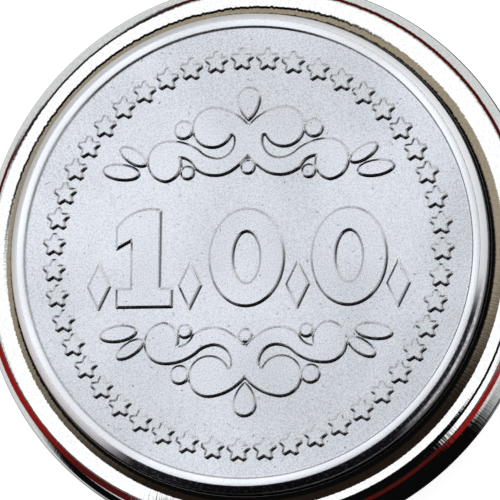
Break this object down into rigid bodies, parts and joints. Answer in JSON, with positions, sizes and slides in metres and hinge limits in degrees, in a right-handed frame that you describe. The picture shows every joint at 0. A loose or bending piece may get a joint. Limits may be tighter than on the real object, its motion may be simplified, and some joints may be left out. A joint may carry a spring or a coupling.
{
  "type": "transit token",
  "caption": "Round struck-metal fare token with scrollwork, plain numerals and a ring of stars, held by magnets in a rounded polished holder that it is pushed out of from behind.",
  "frame": {"origin": "centre of the flat base that the holder rests on", "axes": "+Z out of the token's struck face, +Y towards the top of the struck design, +X to its right"},
  "size_m": [0.0295, 0.0294, 0.0051],
  "materials": {
    "struck_steel": "fine satin, struck, with light handling marks",
    "polished_chrome": "mirror polished",
    "plate_steel": "turned satin",
    "magnet_nickel": "nickel plated"
  },
  "bodies": {
    "holder": {"bezel_ring": "polished_chrome", "back_shell": "polished_chrome", "seat_plate": "plate_steel", "magnet_1": "magnet_nickel", "magnet_2": "magnet_nickel", "magnet_3": "magnet_nickel", "magnet_4": "magnet_nickel"},
    "token": {"token": "struck_steel"}
  },
  "joints": [
    {"name": "token_lift", "type": "slide", "parent": "holder", "child": "token", "axis": [0, 0, 1], "range_m": [0, 0.012]}
  ]
}
